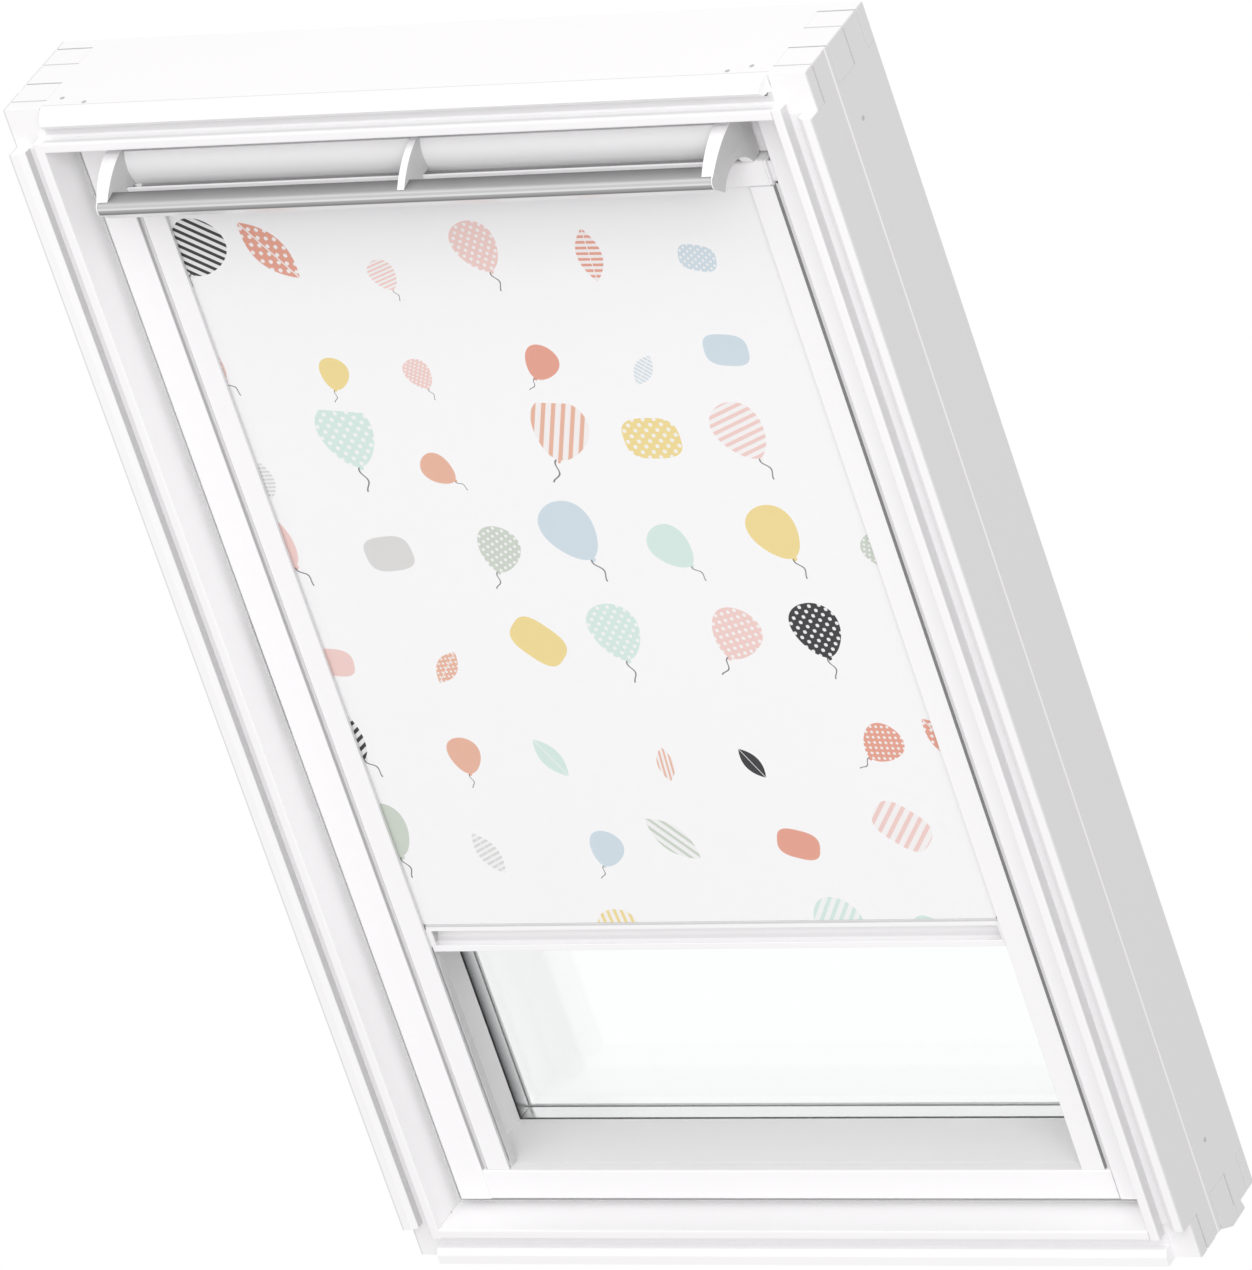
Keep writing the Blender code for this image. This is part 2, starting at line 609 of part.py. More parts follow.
# The outer brackets lean out towards their tops; each has a blind hole for its hinge pin.
bracket_x = daylight_x - BRACKET_INSET
bracket_in = bracket_x - BRACKET_T
skin_x = bracket_x - BRACKET_END_SKIN
eye_end = bracket_x - EYE_SKIN
above, below = axis_z + BRACKET_TOP + OVERSHOOT, axis_z - HEEL_DOWN - OVERSHOOT
lean = BRACKET_FLARE * (above - axis_z - FLARE_UP) / (BRACKET_TOP - FLARE_UP)
far_x = bracket_x + lean + OVERSHOOT
bar_seat = bar_section(bar_sign * FIT, bar_sign * (BAR_WALL + FIT), FIT)
for side, name in ((-1, "left"), (1, "right")):
    bracket = along_x("bracket_" + name, bracket_outline, side * bracket_in, side * (bracket_x + lean),
                      PLASTIC_WHITE, flap_axis)
    outside = [(side * bracket_x, below), (side * bracket_x, axis_z + FLARE_UP), (side * (bracket_x + lean), above),
               (side * far_x, above), (side * far_x, below)]
    cut(bracket, along_y("bracket_flare_" + name, [outside], axis_d - BAR_EDGE_OUT - OVERSHOOT,
                         axis_d + SPINE_BACK + OVERSHOOT))
    cut(bracket, along_x("bar_seat_" + name, bar_seat, side * (bracket_in - OVERSHOOT), side * skin_x))
    cut(bracket, along_x("bracket_eye_" + name, circle(axis_d, axis_z, EYE_PIN_R + FIT, 20),
                         side * (bracket_in - OVERSHOOT), side * eye_end))
along_x("control_bar", bar_section(0.0, bar_sign * BAR_WALL, 0.0), FIT - skin_x, skin_x - FIT, ALUMINIUM, flap_axis)

# The flap cover bulges towards the room, and ends below in a gutter with a turned lip.
cover_arc = arc(flap(COVER_TOP_OUT, COVER_TOP_UP), flap(COVER_LOW_OUT, COVER_LOW_UP), -COVER_SAG, 14)
cover_in = [(d + COVER_WALL, z) for d, z in cover_arc]
gutter_in, gutter_floor = GUTTER_BACK_OUT + COVER_WALL, GUTTER_T - GUTTER_DOWN
shoulder = COVER_LOW_UP + COVER_WALL
gutter = [flap(gutter_in, COVER_LOW_UP), flap(gutter_in, gutter_floor), flap(LIP_OUT - LIP_T, gutter_floor),
          flap(LIP_OUT - LIP_T, LIP_UP), flap(LIP_OUT + TIP_OUT, LIP_UP), flap(LIP_OUT + TIP_OUT, LIP_UP - TIP_H),
          flap(LIP_OUT, LIP_UP - TIP_H - TIP_OUT), flap(LIP_OUT, -GUTTER_DOWN), flap(GUTTER_BACK_OUT, -GUTTER_DOWN),
          flap(GUTTER_BACK_OUT, shoulder), flap(COVER_LOW_OUT - COVER_WALL, shoulder)]
cover_outline = cover_arc + gutter + [p for p in cover_in[::-1] if p[1] > axis_z + shoulder + FIT]
cover_end = bracket_in - FIT
along_x("flap_cover", cover_outline, -cover_end, cover_end, PLASTIC_WHITE, flap_axis)

# The middle bracket stands on the front of the cover and clears its lip.
bracket = along_x("bracket_middle", bracket_outline, -MIDDLE_T / 2, MIDDLE_T / 2, PLASTIC_WHITE, flap_axis)
behind = axis_d + SPINE_BACK + OVERSHOOT
clear_up = axis_z + LIP_UP + FIT
clear_front = axis_d - LIP_OUT - TIP_OUT - FIT
clear_arc = [(d - FIT, z) for d, z in cover_arc if z > clear_up]
clear = ([(clear_arc[0][0], above)] + clear_arc
         + [(clear_arc[-1][0], clear_up), (clear_front, clear_up), (clear_front, below), (behind, below),
            (behind, above)])
cut(bracket, along_x("middle_clearance", clear, -MIDDLE_T, MIDDLE_T))
cut(bracket, along_x("bar_seat_middle", bar_seat, -MIDDLE_T, MIDDLE_T))

# Hinge lugs of the flap on the top rail, each with its pin.
for side, name in ((-1, "left"), (1, "right")):
    lug_in, lug_out = side * (bracket_in - FIT - LUG_T), side * (bracket_in - FIT)
    round_end = [(axis_d - LUG_R * math.sin(t), axis_z + LUG_R * math.cos(t))
                 for t in [math.pi * i / 12 for i in range(13)]]
    foot = [(top_front - FIT, axis_z - LUG_R), (top_front - FIT, axis_z - LUG_R + LUG_FOOT_H),
            (axis_d + LUG_R, axis_z - LUG_R + LUG_FOOT_H)]
    lug = along_x("flap_hinge_" + name, round_end + foot, lug_in, lug_out, STEEL, pivot)
    pin = circle(axis_d, axis_z, EYE_PIN_R, 20)
    join(lug, along_x("flap_pin_" + name, pin, side * (bracket_in - FIT - LUG_T / 2), side * (eye_end - FIT)))

# Lock of the sash behind the flap cover, its latch and the striker on the head.
lock_front = top_front - FIT - LOCK_D
lock_low = axis_z + LOCK_UP - LOCK_H / 2
lock_top = axis_z + LOCK_UP + LOCK_H / 2
lock_case = along_z("lock_case", fillet([(-LOCK_W / 2, lock_front), (LOCK_W / 2, lock_front),
                                         (LOCK_W / 2, top_front - FIT), (-LOCK_W / 2, top_front - FIT)],
                                        [LOCK_ROUND, LOCK_ROUND, 0, 0]), lock_low, lock_top, STEEL, pivot)
latch_front = lock_front + LATCH_BACK
latch_low = lock_top - LATCH_ENGAGE
latch_tip = sash_top + LATCH_STICK_OUT
cut(lock_case, box("latch_guide", -LATCH_W / 2 - RUN, LATCH_W / 2 + RUN, latch_front - RUN, latch_front + LATCH_D + RUN,
                   latch_low - LATCH_TRAVEL - RUN, lock_top + OVERSHOOT))
latch_origin = (0.0, back(latch_front + LATCH_D / 2), latch_low)
box("lock_latch", -LATCH_W / 2, LATCH_W / 2, latch_front, latch_front + LATCH_D, latch_low, latch_tip, STEEL,
    latch_origin)
head_reveal = FRAME_H - MEMBER_W
box("striker_plate", -STRIKER_W / 2, STRIKER_W / 2, STRIKER_AT, STRIKER_AT + STRIKER_D,
    head_reveal - FIT - STRIKER_T, head_reveal - FIT, STEEL)

# Roller blind: side channels on the stiles, casing, roller, fabric and bottom bar.
blind_front = SASH_FRONT + BLIND_SETBACK
channel_out = daylight_x - BLIND_SIDE_GAP
channel_in = channel_out - CHANNEL_W
channel_back = blind_front + CHANNEL_D
casing_low = casing_top - CASING_H
channel_top = casing_low - FIT
channel_low = daylight_low + FIT
slot_front = blind_front + CHANNEL_SLOT_AT
slot_back = slot_front + CHANNEL_SLOT_W
flange_d = blind_front + FLANGE_AT
for side, name in ((-1, "left"), (1, "right")):
    wall = CHANNEL_WALL
    section = [(channel_out, blind_front), (channel_in, blind_front), (channel_in, slot_front),
               (channel_in + wall, slot_front), (channel_in + wall, blind_front + wall),
               (channel_out - wall, blind_front + wall), (channel_out - wall, channel_back - wall),
               (channel_in + wall, channel_back - wall), (channel_in + wall, slot_back), (channel_in, slot_back),
               (channel_in, channel_back), (channel_out, channel_back), (channel_out, flange_d + FLANGE_T),
               (daylight_x - FIT, flange_d + FLANGE_T), (daylight_x - FIT, flange_d), (channel_out, flange_d)]
    along_z("channel_" + name, [(side * x, d) for x, d in section], channel_low, channel_top, BLIND_WHITE, pivot)
    box("channel_plug_" + name, side * (channel_in + wall + FIT), side * (channel_out - wall - FIT),
        blind_front + wall + FIT, channel_back - wall - FIT, channel_low, channel_low + PLUG_H, BLIND_WHITE, pivot)

casing_back = blind_front + CASING_D
lip_end = blind_front + CASING_LIP
slot_end = lip_end + CASING_SLOT
inset = CASING_WALL
casing_outline = fillet(
    [(lip_end, casing_low), (blind_front, casing_low), (blind_front, casing_top), (casing_back, casing_top),
     (casing_back, casing_low), (slot_end, casing_low), (slot_end, casing_low + inset),
     (casing_back - inset, casing_low + inset), (casing_back - inset, casing_top - inset),
     (blind_front + inset, casing_top - inset), (blind_front + inset, casing_low + inset),
     (lip_end, casing_low + inset)],
    [0, CASING_ROUND, CASING_ROUND, CASING_ROUND, CASING_ROUND, 0, 0, 0, 0, 0, 0, 0], 3)
casing_x = channel_out - CASING_END_T - FIT
along_x("blind_casing", casing_outline, -casing_x, casing_x, BLIND_WHITE, pivot)

fabric_front = blind_front + FABRIC_DEPTH
roller_d = fabric_front + FABRIC_T + FIT + ROLLER_R
roller_z = casing_low + CASING_H / 2
roller_axis = (0.0, back(roller_d), roller_z)
end_outline = rounded_box(blind_front, casing_back, casing_low, casing_top, CASING_ROUND, 3)
for side, name in ((-1, "left"), (1, "right")):
    end_in, end_out = side * (channel_out - CASING_END_T), side * channel_out
    end = along_x("casing_end_" + name, end_outline, end_in, end_out, BLIND_WHITE, pivot)
    seat_z = (casing_top + casing_low) / 2
    seat_back = casing_back - CASING_ROUND
    join(end, box("casing_seat_" + name, side * (channel_out - CASING_END_T / 2), side * (daylight_x - FIT),
                  seat_back - CASING_SEAT_D, seat_back, seat_z - CASING_SEAT_H / 2, seat_z + CASING_SEAT_H / 2))
    join(end, box("casing_flange_" + name, side * (channel_out - CASING_END_T / 2), side * (daylight_x - FIT),
                  flange_d, flange_d + FLANGE_T, casing_low + CASING_ROUND, casing_top - CASING_ROUND))
    join(end, along_x("roller_spindle_" + name, circle(roller_d, roller_z, SPINDLE_R, 16),
                      side * (channel_out - CASING_END_T / 2), side * (casing_x - SPINDLE_L)))

roller_half = casing_x - FIT - RUN
bore_end = casing_x - SPINDLE_L - RUN
bore = SPINDLE_R + FIT
roller_mesh = bpy.data.meshes.new("roller_tube")
profile = [(0.0, -bore_end), (bore, -bore_end), (bore, -roller_half), (ROLLER_R, -roller_half),
           (ROLLER_R, roller_half), (bore, roller_half), (bore, bore_end), (0.0, bore_end)]
roller_mesh.from_pydata([(r, 0.0, h) for r, h in profile], [(i, i + 1) for i in range(len(profile) - 1)], [])
guide = bpy.data.objects.new("roller_profile", roller_mesh)
bpy.context.scene.collection.objects.link(guide)
turn = guide.modifiers.new("turn", 'SCREW')
turn.axis = 'Z'
turn.steps = turn.render_steps = 28
turn.use_merge_vertices = True
turn.merge_threshold = 1e-5
bpy.context.view_layer.update()
tube = bpy.data.meshes.new_from_object(guide.evaluated_get(bpy.context.evaluated_depsgraph_get()))
bpy.data.objects.remove(guide, do_unlink=True)
tube.transform(Matrix.Translation(roller_axis) @ Matrix.Rotation(math.pi / 2, 4, 'Y'))
tube.name = "roller_tube"
finish(bpy.data.objects.new("roller_tube", tube), ALUMINIUM, roller_axis)

# Bottom bar: a lip, a scooped grip between end walls, and a lower lip that slopes back.
bar_top = BAR_BOTTOM_UP + BAR_H
bar_front = blind_front + BAR_SETBACK
bar_back = bar_front + BAR_D
bar_half = channel_in - BAR_END_GAP
grip_top = bar_top - BAR_LIP_H
grip_low = grip_top - GRIP_H
bar_outline = fillet([(bar_front, bar_top), (bar_front, grip_low), (bar_front + BAR_UNDERCUT, BAR_BOTTOM_UP),
                      (bar_back, BAR_BOTTOM_UP), (bar_back, bar_top)], [BAR_CORNER] * 5, 2)
grip_back = bar_front + GRIP_D
grip = ([(bar_front - OVERSHOOT, grip_low), (bar_front - OVERSHOOT, grip_top), (grip_back, grip_top)]
        + arc((grip_back, grip_top - GRIP_BACK_H), (bar_front, grip_low), GRIP_SAG, 8))
bar_origin = (0.0, back(bar_front + BAR_D / 2), bar_top)
bar = along_x("bottom_bar", bar_outline, -bar_half, bar_half, BLIND_WHITE, bar_origin)
cut(bar, along_x("bottom_bar_grip", grip, GRIP_END - bar_half, bar_half - GRIP_END))
slot_middle = (slot_front + slot_back) / 2
glide_z = BAR_BOTTOM_UP + BAR_H / 2
for side, name in ((-1, "left"), (1, "right")):
    box("bar_glide_" + name, side * (bar_half + FIT), side * (channel_in + GLIDE_INTO_SLOT),
        slot_middle - GLIDE_T / 2, slot_middle + GLIDE_T / 2, glide_z - GLIDE_H / 2, glide_z + GLIDE_H / 2,
        PLASTIC_WHITE, bar_origin)

fabric_x = channel_in + FABRIC_IN_SLOT
box("blind_fabric", -fabric_x, fabric_x, fabric_front, fabric_front + FABRIC_T, bar_top + FIT, roller_z, FABRIC,
    (0.0, back(fabric_front + FABRIC_T / 2), roller_z))
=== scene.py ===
import math
import bpy
import bmesh
from mathutils import Matrix, Vector


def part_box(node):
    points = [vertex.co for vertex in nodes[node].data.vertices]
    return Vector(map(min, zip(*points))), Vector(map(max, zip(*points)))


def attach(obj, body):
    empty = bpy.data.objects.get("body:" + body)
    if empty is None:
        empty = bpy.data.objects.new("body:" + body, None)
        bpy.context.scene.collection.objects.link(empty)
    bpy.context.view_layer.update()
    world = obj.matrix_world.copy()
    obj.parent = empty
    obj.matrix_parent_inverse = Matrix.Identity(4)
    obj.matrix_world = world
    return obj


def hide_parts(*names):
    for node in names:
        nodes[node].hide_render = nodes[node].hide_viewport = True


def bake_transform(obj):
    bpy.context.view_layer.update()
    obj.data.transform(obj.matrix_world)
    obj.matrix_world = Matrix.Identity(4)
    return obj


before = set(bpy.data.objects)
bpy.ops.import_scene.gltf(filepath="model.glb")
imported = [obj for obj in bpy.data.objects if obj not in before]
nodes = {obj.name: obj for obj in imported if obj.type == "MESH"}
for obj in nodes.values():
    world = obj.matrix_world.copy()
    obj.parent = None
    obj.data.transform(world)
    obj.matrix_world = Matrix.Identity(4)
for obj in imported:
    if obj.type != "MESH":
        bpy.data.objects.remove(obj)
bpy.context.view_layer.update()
scene = bpy.context.scene


# Places on the window, in metres. FRONT is the y of the frame's room face, and depths are counted back from it.

FRONT = -0.06325
HALF_W, FRAME_H, MEMBER_W = 0.390, 1.178, 0.036
SEAM_DEPTHS = (0.0273, 0.0563, 0.0878, 0.1138)
FLUTE_EDGES = ((0.0437, 0.0007), (0.0510, 0.0003))
CREASE_DEPTH = 0.0185
GROOVE_DEPTH, GROOVE_OUT, GROOVE_IN = 0.0115, 0.0145, 0.0268
GROOVE_FLOOR_SHADE_SPAN, GROOVE_WALL_SHADE_SPAN = (0.0193, 0.0050), (0.0046, 0.0020)
DAYLIGHT_X, DAYLIGHT_DEPTH = 0.314, 0.0415
CHANNEL_OUT, CHANNEL_IN = 0.3084, 0.2858
FLAP_SLOT_Z, FLAP_CLEAR_Z, FLAP_DEPTH = 1.0985, 1.1060, 0.0082
BAR_FOOT_Z, BAR_BEND_Z, BAR_TOP_Z = 1.0870, 1.1075, 1.1068
BAR_FACE_Y, BAR_BACK_Y = FRONT - 0.0320, FRONT - 0.016


# Shader helpers.

class Shader:
    """A Principled material that is built node by node."""

    def __init__(self, name, colour, rough, metal=0.0):
        self.mat = bpy.data.materials.new(name)
        self.mat.use_nodes = True
        self.tree = self.mat.node_tree
        self.bsdf = self.tree.nodes["Principled BSDF"]
        self.bsdf.inputs["Base Color"].default_value = (*colour, 1.0)
        self.bsdf.inputs["Roughness"].default_value = rough
        self.bsdf.inputs["Metallic"].default_value = metal

    def node(self, kind, **settings):
        made = self.tree.nodes.new(kind)
        for key, value in settings.items():
            setattr(made, key, value)
        return made

    def plug(self, source, target):
        """Link a socket, or set a plain value."""
        if isinstance(source, bpy.types.NodeSocket):
            self.tree.links.new(source, target)
        elif source is not None:
            target.default_value = source

    def to(self, name, source):
        self.tree.links.new(source, self.bsdf.inputs[name])

    def math(self, op, a, b=None, c=None):
        made = self.node("ShaderNodeMath", operation=op)
        for value, target in zip((a, b, c), made.inputs):
            self.plug(value, target)
        return made.outputs[0]

    def times(self, first, *others):
        for other in others:
            first = self.math('MULTIPLY', first, other)
        return first

    def flip(self, value):
        return self.math('SUBTRACT', 1.0, value)

    def size(self, value):
        return self.math('ABSOLUTE', value)

    def vector(self, op, a, b):
        made = self.node("ShaderNodeVectorMath", operation=op)
        self.plug(a, made.inputs[0])
        self.plug(b, made.inputs["Scale"] if op == 'SCALE' else made.inputs[1])
        return made.outputs["Vector"]

    def split(self, vector):
        made = self.node("ShaderNodeSeparateXYZ")
        self.plug(vector, made.inputs[0])
        return made.outputs

    def place(self):
        return self.node("ShaderNodeTexCoord").outputs["Object"]

    def facing(self):
        return self.split(self.node("ShaderNodeTexCoord").outputs["Normal"])

    def mix(self, factor, a, b):
        made = self.node("ShaderNodeMix", data_type='RGBA')
        self.plug(factor, made.inputs[0])
        self.plug((*a, 1.0) if isinstance(a, tuple) else a, made.inputs[6])
        self.plug((*b, 1.0) if isinstance(b, tuple) else b, made.inputs[7])
        return made.outputs[2]

    def noise(self, coords, scale, detail=3.0):
        made = self.node("ShaderNodeTexNoise")
        self.plug(coords, made.inputs["Vector"])
        made.inputs["Scale"].default_value = scale
        made.inputs["Detail"].default_value = detail
        made.inputs["Roughness"].default_value = 0.55
        return made.outputs["Fac"]

    def drawn(self, where, grain, detail):
        """Noise with its own scale along each axis."""
        return self.noise(self.vector('MULTIPLY', where, grain), 1.0, detail)

    def remap(self, value, from_lo, from_hi, to_lo, to_hi, kind='LINEAR'):
        made = self.node("ShaderNodeMapRange", interpolation_type=kind)
        self.plug(value, made.inputs[0])
        for i, number in enumerate((from_lo, from_hi, to_lo, to_hi)):
            made.inputs[i + 1].default_value = number
        return made.outputs[0]

    def spread(self, factor, lo, hi):
        return self.remap(factor, 0.0, 1.0, lo, hi)

    def step(self, value, edge, soft):
        """0 below the edge, 1 above it, over a short soft band."""
        return self.remap(value, edge - soft, edge + soft, 0.0, 1.0, 'SMOOTHSTEP')

    def below(self, value, edge, soft):
        """1 below the edge, 0 above it."""
        return self.flip(self.step(value, edge, soft))

    def near(self, value, middle, reach, soft=0.0002):
        """1 close to a value, 0 elsewhere."""
        return self.below(self.size(self.math('SUBTRACT', value, middle)), reach, soft)

    def ramp(self, value, stops, kind='LINEAR'):
        """Colours by value, from (position, colour) stops."""
        made = self.node("ShaderNodeValToRGB")
        made.color_ramp.interpolation = kind
        elements = made.color_ramp.elements
        while len(elements) < len(stops):
            elements.new(0.5)
        for i, (position, colour) in enumerate(stops):
            elements[i].position = position
            elements[i].color = (*colour, 1.0)
        self.plug(value, made.inputs[0])
        return made.outputs[0]

    def bump(self, height, distance, strength=1.0):
        made = self.node("ShaderNodeBump")
        made.inputs["Strength"].default_value = strength
        made.inputs["Distance"].default_value = distance
        self.plug(height, made.inputs["Height"])
        self.tree.links.new(made.outputs[0], self.bsdf.inputs["Normal"])


def grey(value):
    return (value, value, value)


def shade(colour, factor):
    return tuple(min(1.0, c * factor) for c in colour)


# Paint and plastic.

def painted(name, colour, rough, grain, depth=0.00004, marks=None):
    """Satin paint: a faint orange peel, slow change of tone, and roughness that wanders a little.

    marks gives, from the shader and the place, pairs of where a surface is darkened and by what factor: painted
    shade, and the dark seams of the frame.
    """
    s = Shader(name, colour, rough)
    where = s.place()
    peel = s.drawn(where, grain, 2.0)
    slow = s.noise(where, 5.0, 2.0)
    fine = s.noise(where, 900.0, 2.0)
    tone = s.mix(slow, shade(colour, 0.985), colour)
    for amount, darker in marks(s, where) if marks else ():
        tone = s.mix(amount, tone, shade(colour, darker))
    s.to("Base Color", tone)
    s.to("Roughness", s.spread(peel, rough - 0.05, rough + 0.06))
    s.bump(s.math('ADD', s.times(peel, 0.7), s.times(fine, 0.3)), depth)
    return s.mat


def corner_seams_and_shade(s, where):
    """Painted shade on outer faces (flute edges kept light as painted highlights), dark finger joint lines, and
    painted shade along the head's crease.
    """
    x, y, z = s.split(where)
    out = s.size(x)
    up = s.size(s.math('SUBTRACT', z, FRAME_H / 2))
    over_side = s.step(out, HALF_W - MEMBER_W - 0.001, 0.0004)
    over_end = s.step(up, FRAME_H / 2 - MEMBER_W - 0.001, 0.0004)
    seams = 0.0
    for depth in SEAM_DEPTHS:
        seams = s.math('MAXIMUM', seams, s.near(y, FRONT + depth, 0.0008))
    # Painted shade along the crease where the head's rounded edge starts.
    crease_shade = s.times(s.near(y, FRONT + CREASE_DEPTH, 0.0003, 0.00015), s.step(z, FRAME_H - 0.0006, 0.0002),
                     s.flip(over_side))
    # Painted shade on the outer faces; the flute edges are left out of it and stay light as painted highlights.
    flute_highlight = s.math('MAXIMUM', *[s.near(y, FRONT + depth, reach) for depth, reach in FLUTE_EDGES])
    outer = s.times(s.step(out, HALF_W - 0.0014, 0.0001), s.flip(flute_highlight))
    faint = s.times(over_side, over_end, seams, s.math('MULTIPLY_ADD', outer, -0.65, 1.0))
    return [(outer, 0.79), (faint, 0.64), (crease_shade, 0.66)]


def side_marks(s, where):
    """The seams and painted shade of the corners, and painted shade on the walls of the lining groove, which turn
    away from the light.
    """
    x, y, _ = s.split(where)
    out = s.size(x)
    inside = s.times(s.step(y, FRONT + 0.001, 0.0008), s.below(y, FRONT + GROOVE_DEPTH + 0.0002, 0.0002))
    # Painted shade on the outer and inner walls of the lining groove.
    outer_wall_shade = s.times(s.near(out, HALF_W - GROOVE_OUT, 0.0003), inside)
    inner_wall_shade = s.times(s.near(out, HALF_W - GROOVE_IN, 0.0003), inside)
    return corner_seams_and_shade(s, where) + [(outer_wall_shade, 0.70), (inner_wall_shade, 0.80)]


def head_marks(s, where):
    """The seams and painted shade of the corners, and painted shade on the floor and lower wall of the head's lining
    groove, under its lip.
    """
    _, y, z = s.split(where)
    floor_mid, floor_half = GROOVE_FLOOR_SHADE_SPAN
    wall_mid, wall_half = GROOVE_WALL_SHADE_SPAN
    # Painted shade on the groove floor under the lip and on the groove's lower wall.
    floor_shade = s.times(s.near(y, FRONT + GROOVE_DEPTH, 0.0003), s.near(z, FRAME_H - floor_mid, floor_half))
    wall_shade = s.times(s.near(z, FRAME_H - GROOVE_IN, 0.0003), s.near(y, FRONT + wall_mid, wall_half, 0.0010))
    return corner_seams_and_shade(s, where) + [(floor_shade, 0.84), (wall_shade, 0.84)]


def daylight_edge_shadow(s, where):
    """Painted shadow line on the inner edge of a stile, beside the blind channel."""
    x, y, _ = s.split(where)
    edge = s.below(s.size(x), DAYLIGHT_X + 0.0002, 0.0002)
    # Painted shadow on the front part of the stile's inner edge.
    return [(s.times(edge, s.below(y, FRONT + DAYLIGHT_DEPTH, 0.0002)), 0.62)]


def channel_wall_shade(s, where):
    """Painted shade: the outer wall of a channel is dark as the shadow in the gap beside it, and the inner wall is a
    light grey shade.
    """
    out = s.size(s.split(where)[0])
    # Painted shade: dark on the outer wall, light grey on the inner wall.
    return [(s.near(out, CHANNEL_OUT, 0.00025, 0.0001), 0.30), (s.near(out, CHANNEL_IN, 0.0002, 0.0001), 0.72)]


def bracket_side_shade(s, where):
    """Painted shade on the sides of a bracket, so they are darker than its face."""
    # Painted shade on faces that point sideways.
    return [(s.step(s.size(s.facing()[0]), 0.75, 0.1), 0.64)]


def flap_foot_shade(s, where):
    """Painted shade on the flap cover, darker towards the slot above its gutter."""
    _, y, z = s.split(where)
    behind = s.step(y, FRONT + FLAP_DEPTH, 0.0008)
    # Painted shade, growing towards the slot.
    return [(s.times(behind, s.remap(z, FLAP_SLOT_Z, FLAP_CLEAR_Z, 1.0, 0.0)), 0.74)]


PAINT, SASH_PAINT = (0.94, 0.936, 0.94), (0.962, 0.958, 0.962)
MOULDED, MOULDED_FLAP = (0.925, 0.922, 0.926), (0.945, 0.942, 0.946)
UPRIGHT, LEVEL = (90.0, 90.0, 14.0), (14.0, 90.0, 90.0)
MOULD_GRAIN, COAT_GRAIN, FINE_DEPTH = grey(260.0), grey(420.0), 0.00003

FRAME = painted("frame_paint", PAINT, 0.38, UPRIGHT, marks=side_marks)
CROSS = painted("rail_paint", PAINT, 0.38, LEVEL, marks=head_marks)
SASH = painted("sash_paint", SASH_PAINT, 0.36, UPRIGHT, marks=daylight_edge_shadow)
SASH_RAIL = painted("sash_rail_paint", SASH_PAINT, 0.36, LEVEL)
PLASTIC = painted("moulded_white", MOULDED, 0.42, MOULD_GRAIN, FINE_DEPTH)
BRACKET = painted("bracket_white", MOULDED, 0.42, MOULD_GRAIN, FINE_DEPTH, bracket_side_shade)
FLAP = painted("flap_white", MOULDED_FLAP, 0.42, MOULD_GRAIN, FINE_DEPTH, flap_foot_shade)
COAT = painted("powder_coat", PAINT, 0.40, COAT_GRAIN, FINE_DEPTH)
CHANNEL = painted("channel_coat", PAINT, 0.40, COAT_GRAIN, FINE_DEPTH, channel_wall_shade)


def cover_coat():
    """Dark grey sheet metal outside; its edge on the glass and its underside are pale, as seen through the pane."""
    s = Shader("cover_coat", (0.105, 0.11, 0.118), 0.45)
    where = s.place()
    x, _, z = s.split(where)
    left, low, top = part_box("cover_left"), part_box("cover_bottom"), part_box("cover_top")
    middle, half = (top[0].z + low[1].z) / 2, (top[0].z - low[1].z) / 2
    beside = s.math('SUBTRACT', s.size(x), -left[1].x)
    above = s.math('SUBTRACT', s.size(s.math('SUBTRACT', z, middle)), half)
    edge = s.below(s.math('MAXIMUM', beside, above), 0.0025, 0.0002)
    under = s.below(s.facing()[1], -0.6, 0.1)
    peel = s.noise(s.vector('SCALE', where, 420.0), 1.0, 2.0)
    dark = s.mix(s.noise(where, 5.0, 2.0), (0.095, 0.10, 0.107), (0.108, 0.113, 0.121))
    s.to("Base Color", s.mix(s.math('MAXIMUM', edge, under), dark, grey(0.93)))
    s.to("Roughness", s.spread(peel, 0.40, 0.51))
    s.bump(peel, 0.00004)
    return s.mat


COVER = cover_coat()


# Metal.

def brushed(name, colour, rough, grain, tone=None):
    """Metal with fine drawn lines along one way; tone, where given, paints shade and highlight on it by place."""
    s = Shader(name, colour, rough, 1.0)
    where = s.place()
    streak = s.drawn(where, grain, 4.0)
    drawn = s.mix(streak, shade(colour, 0.9), shade(colour, 1.04))
    if tone:
        drawn = s.vector('MULTIPLY', drawn, tone(s, where))
    s.to("Base Color", drawn)
    s.to("Roughness", s.spread(streak, rough - 0.06, rough + 0.08))
    s.bump(streak, 0.00002)
    return s.mat


def bar_painted_light(s, where):
    """Painted reflection and highlight: the top wall is painted darker towards its back, and the front wall gets a
    painted highlight a little below the bend and a painted dark band lower down.
    """
    _, y, z = s.split(where)
    # Painted reflection on the top wall, darker towards the back.
    top_wall_painted_shade = s.remap(y, BAR_FACE_Y, BAR_BACK_Y, 0.70, 0.34)
    # Painted highlight and shade on the front wall, from the foot to the bend.
    stops = [(1.0870, 0.92), (1.0976, 0.88), (1.0984, 0.17), (1.1012, 0.40), (1.1026, 0.46), (1.1034, 0.84),
             (1.1044, 0.86), (1.1052, 0.66), (1.1075, 0.62)]
    front_wall_painted_light = s.ramp(s.remap(z, BAR_FOOT_Z, BAR_BEND_Z, 0.0, 1.0),
                        [((at - BAR_FOOT_Z) / (BAR_BEND_Z - BAR_FOOT_Z), grey(tone)) for at, tone in stops])
    on_top = s.step(z, BAR_TOP_Z, 0.0005)
    return s.math('ADD', s.times(on_top, top_wall_painted_shade), s.times(s.flip(on_top), front_wall_painted_light))


